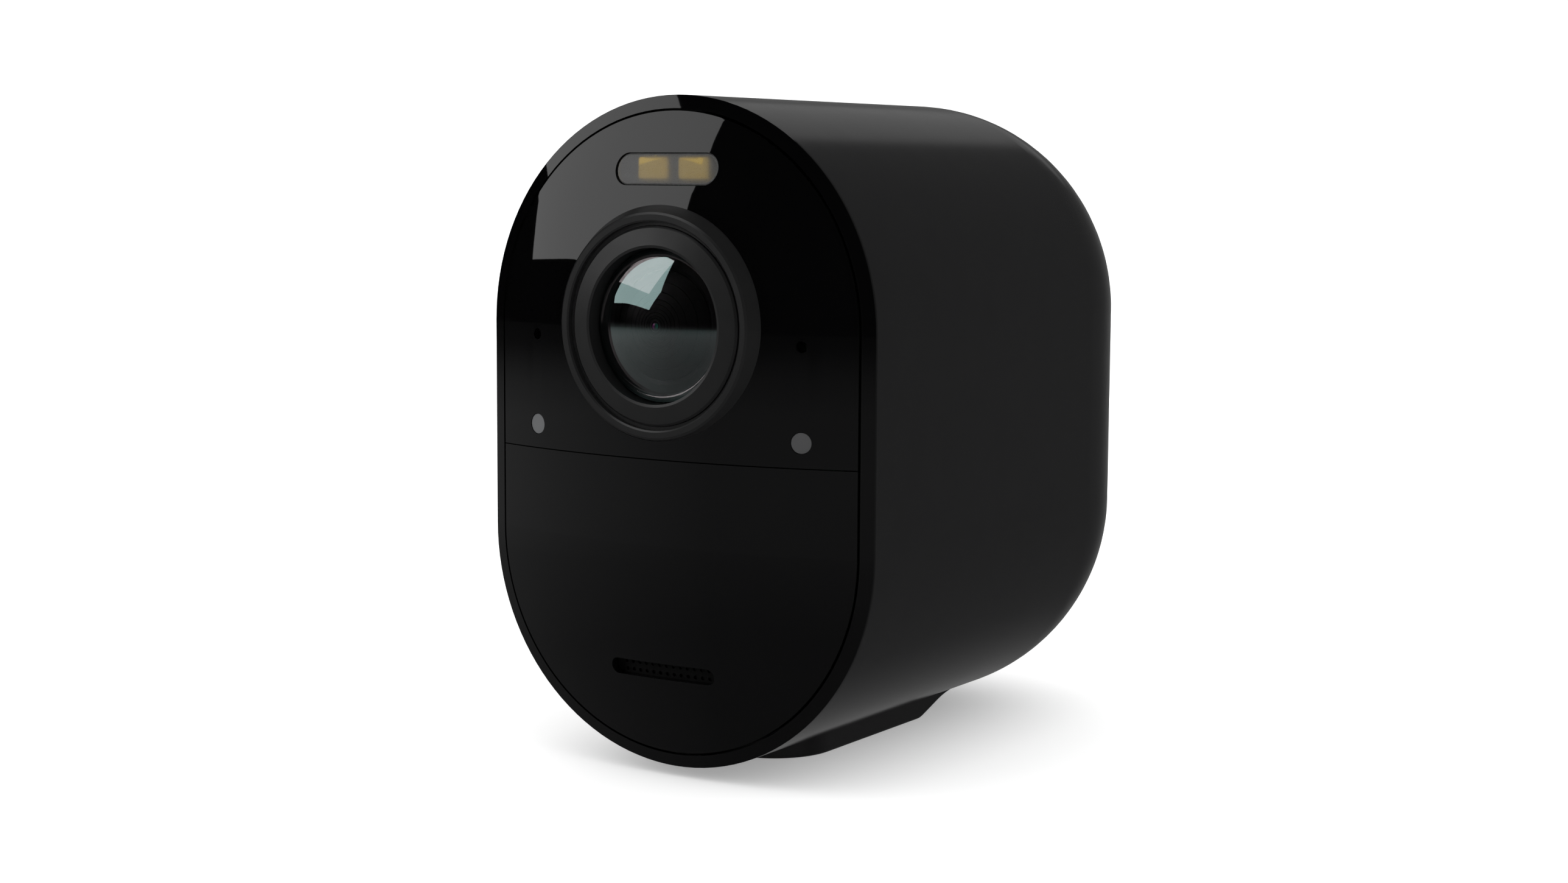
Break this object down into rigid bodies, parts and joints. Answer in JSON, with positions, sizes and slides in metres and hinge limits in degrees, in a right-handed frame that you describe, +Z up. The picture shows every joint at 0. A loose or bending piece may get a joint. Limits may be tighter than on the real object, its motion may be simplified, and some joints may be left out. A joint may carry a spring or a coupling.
{
  "type": "battery security camera",
  "caption": "Battery security camera: a lens module that slides out of a rounded upright housing with a threaded foot and a magnet dish.",
  "frame": {"origin": "bottom centre of the object's box: on the surface it stands on, on its symmetry plane, halfway from front to back", "axes": "+X to the camera's left hand side seen from the front, -Y the way the lens looks, +Z up"},
  "size_m": [0.052, 0.0796, 0.0776],
  "materials": {
    "housing_black": "satin",
    "rim_black": "polished",
    "face_black": "polished",
    "window_black": "semi-gloss",
    "bezel_black": "satin",
    "button_black": "matte",
    "inner_plastic": "matte",
    "case_grey": "matte",
    "clear_glass": "coated",
    "lens_glass": "coated",
    "filter_red": "dichroic",
    "frost_clear": "frosted",
    "pipe_grey": "translucent",
    "phosphor": "powdery",
    "board_green": "solder mask",
    "chip_black": "moulded",
    "sensor_tile": "polished",
    "seal_rubber": "matte",
    "steel": "brushed",
    "magnet_nickel": "plated",
    "gold_plate": "plated",
    "socket_brass": "turned",
    "can_tin": "tinned",
    "spreader_alu": "satin",
    "flex_amber": "film",
    "coil_copper": "enamelled",
    "battery_black": "matte"
  },
  "bodies": {
    "housing": {"housing_shell": "housing_black", "rim_trim": "rim_black", "thread_insert": "socket_brass", "magnet_plate": "steel", "charge_port_tray": "bezel_black", "charge_contacts": "gold_plate", "charge_magnets": "magnet_nickel", "dock_block": "inner_plastic", "dock_pins": "gold_plate", "port_flex": "flex_amber", "latch_pin": "steel", "latch_spring": "steel"},
    "release_button": {"release_button": "button_black"},
    "latch_lever": {"latch_lever": "inner_plastic"},
    "camera_module": {"upper_face": "face_black", "motion_window": "window_black", "spotlight_window": "frost_clear", "light_sensor_window": "pipe_grey", "status_window": "pipe_grey", "lens_bezel": "bezel_black", "inner_bezel": "bezel_black", "cover_glass": "clear_glass", "front_frame": "inner_plastic", "frame_screws": "steel", "seal_ring": "seal_rubber", "front_board": "board_green", "spotlight_leds": "phosphor", "status_led": "pipe_grey", "mic_boots": "seal_rubber", "microphones": "can_tin", "motion_sensor": "can_tin", "motion_board": "board_green", "speaker_grille": "chip_black", "speaker_gasket": "seal_rubber", "speaker": "chip_black", "lens_barrel": "inner_plastic", "front_element": "lens_glass", "rear_element": "lens_glass", "lens_holder": "inner_plastic", "ircut_coil": "coil_copper", "image_sensor": "sensor_tile", "sensor_board": "board_green", "board_connector": "chip_black", "main_board": "board_green", "shield_cans": "can_tin", "heat_spreader": "spreader_alu", "board_flex": "flex_amber", "module_case": "case_grey", "dock_pads": "gold_plate", "battery_contacts": "gold_plate", "sync_switch": "chip_black", "sync_board": "board_green", "antennas": "coil_copper"},
    "filter_carriage": {"ircut_carriage": "chip_black", "ircut_filter": "filter_red", "clear_filter": "lens_glass"},
    "battery": {"battery_pack": "battery_black", "battery_cap": "case_grey", "battery_terminals": "gold_plate"},
    "sync_button": {"sync_button": "button_black"}
  },
  "joints": [
    {"name": "module_slide", "type": "slide", "parent": "housing", "child": "camera_module", "axis": [0, -1, 0], "range_m": [0, 0.062]},
    {"name": "release_press", "type": "slide", "parent": "housing", "child": "release_button", "axis": [0, 0, 1], "range_m": [0, 0.001], "stiffness_N_per_m": 400, "springref_m": -0.002},
    {"name": "latch_swing", "type": "hinge", "parent": "housing", "child": "latch_lever", "pos_m": [0, -0.02083, 0.00395], "axis": [1, 0, 0], "range_deg": [0, 9.15]},
    {"name": "filter_shift", "type": "slide", "parent": "camera_module", "child": "filter_carriage", "axis": [1, 0, 0], "range_m": [0, 0.0065]},
    {"name": "battery_slide", "type": "slide", "parent": "camera_module", "child": "battery", "axis": [0, 1, 0], "range_m": [0, 0.0045]},
    {"name": "sync_press", "type": "slide", "parent": "camera_module", "child": "sync_button", "axis": [0, -1, 0], "range_m": [0, 0.0006], "stiffness_N_per_m": 800, "springref_m": -0.001}
  ],
  "couplings": [
    {"joint": "latch_swing", "follows": "release_press", "rad_per_m": 156.25}
  ]
}
